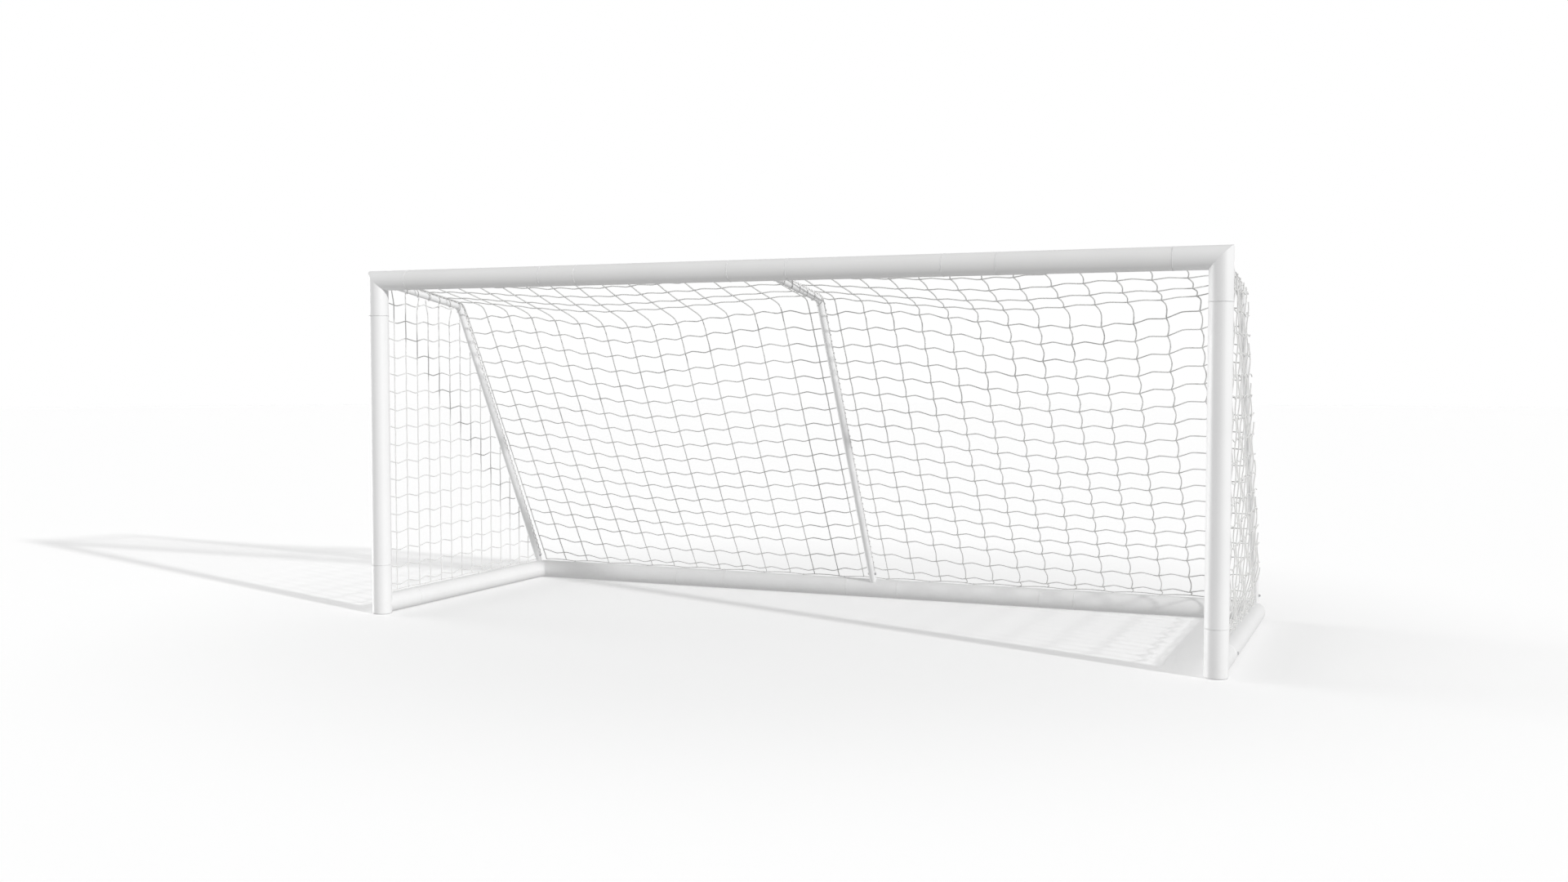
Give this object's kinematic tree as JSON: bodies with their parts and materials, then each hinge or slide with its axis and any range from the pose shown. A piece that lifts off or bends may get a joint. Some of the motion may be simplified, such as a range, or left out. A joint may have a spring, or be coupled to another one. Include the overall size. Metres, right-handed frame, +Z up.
{
  "type": "soccer goal",
  "caption": "Free-standing soccer goal: round tube mouth frame, side and rear ground bars, bent net supports and a hung net",
  "frame": {"origin": "on the ground under the middle of the frame's bounding box, midway between the posts", "axes": "+X along the crossbar to the right seen from the front, +Y from the mouth to the back, +Z up"},
  "size_m": [5.1582, 1.958, 2.12],
  "materials": {
    "coated_tube": "satin",
    "coated_tube_shade": "satin",
    "plug_plastic": "matte",
    "zinc_steel": "satin",
    "rivet_aluminium": "satin",
    "clip_plastic": "matte",
    "cup_plastic": "matte",
    "button_steel": "satin",
    "spring_steel": "satin",
    "net_fabric": "matte",
    "lacing_fabric": "matte"
  },
  "bodies": {
    "frame": {"crossbar_tube_outer_left": "coated_tube_shade", "crossbar_tube_inner_left": "coated_tube_shade", "crossbar_tube_inner_right": "coated_tube_shade", "crossbar_tube_outer_right": "coated_tube_shade", "crossbar_coupling_left": "coated_tube_shade", "crossbar_coupling_middle": "coated_tube_shade", "crossbar_coupling_right": "coated_tube_shade", "top_corner_left": "coated_tube", "top_corner_right": "coated_tube", "post_left": "coated_tube", "post_right": "coated_tube", "foot_corner_left": "coated_tube", "foot_corner_right": "coated_tube", "foot_plug_left": "plug_plastic", "foot_plug_right": "plug_plastic", "ground_rail_left": "coated_tube", "ground_rail_right": "coated_tube", "rear_tube_left": "coated_tube", "rear_tube_right": "coated_tube", "rear_coupling_left": "coated_tube", "rear_coupling_middle": "coated_tube", "rear_coupling_right": "coated_tube", "net_support_left": "coated_tube", "net_support_middle": "coated_tube", "net_support_right": "coated_tube", "joint_screws": "zinc_steel", "coupling_rivets": "rivet_aluminium", "support_bolts": "zinc_steel", "support_nuts": "zinc_steel", "net_clips": "clip_plastic", "button_cups": "cup_plastic", "button_spring_crossbar_left": "spring_steel", "button_spring_crossbar_middle": "spring_steel", "button_spring_crossbar_right": "spring_steel", "button_spring_rear_left": "spring_steel", "button_spring_rear_middle": "spring_steel", "button_spring_rear_right": "spring_steel", "net_roof": "net_fabric", "net_back": "net_fabric", "net_side_left": "net_fabric", "net_side_right": "net_fabric", "lacing_left": "lacing_fabric", "lacing_middle": "lacing_fabric", "lacing_right": "lacing_fabric"},
    "button_crossbar_left": {"snap_button_crossbar_left": "button_steel"},
    "button_crossbar_middle": {"snap_button_crossbar_middle": "button_steel"},
    "button_crossbar_right": {"snap_button_crossbar_right": "button_steel"},
    "button_rear_left": {"snap_button_rear_left": "button_steel"},
    "button_rear_middle": {"snap_button_rear_middle": "button_steel"},
    "button_rear_right": {"snap_button_rear_right": "button_steel"}
  },
  "joints": [
    {"name": "press_crossbar_left", "type": "slide", "parent": "frame", "child": "button_crossbar_left", "axis": [0, -1, 0], "range_m": [0, 0.0064], "stiffness_N_per_m": 800, "springref_m": -0.004, "deforming": ["button_spring_crossbar_left"]},
    {"name": "press_crossbar_middle", "type": "slide", "parent": "frame", "child": "button_crossbar_middle", "axis": [0, -1, 0], "range_m": [0, 0.0064], "stiffness_N_per_m": 800, "springref_m": -0.004, "deforming": ["button_spring_crossbar_middle"]},
    {"name": "press_crossbar_right", "type": "slide", "parent": "frame", "child": "button_crossbar_right", "axis": [0, -1, 0], "range_m": [0, 0.0064], "stiffness_N_per_m": 800, "springref_m": -0.004, "deforming": ["button_spring_crossbar_right"]},
    {"name": "press_rear_left", "type": "slide", "parent": "frame", "child": "button_rear_left", "axis": [0, -1, 0], "range_m": [0, 0.0064], "stiffness_N_per_m": 800, "springref_m": -0.004, "deforming": ["button_spring_rear_left"]},
    {"name": "press_rear_middle", "type": "slide", "parent": "frame", "child": "button_rear_middle", "axis": [0, -1, 0], "range_m": [0, 0.0064], "stiffness_N_per_m": 800, "springref_m": -0.004, "deforming": ["button_spring_rear_middle"]},
    {"name": "press_rear_right", "type": "slide", "parent": "frame", "child": "button_rear_right", "axis": [0, -1, 0], "range_m": [0, 0.0064], "stiffness_N_per_m": 800, "springref_m": -0.004, "deforming": ["button_spring_rear_right"]}
  ]
}
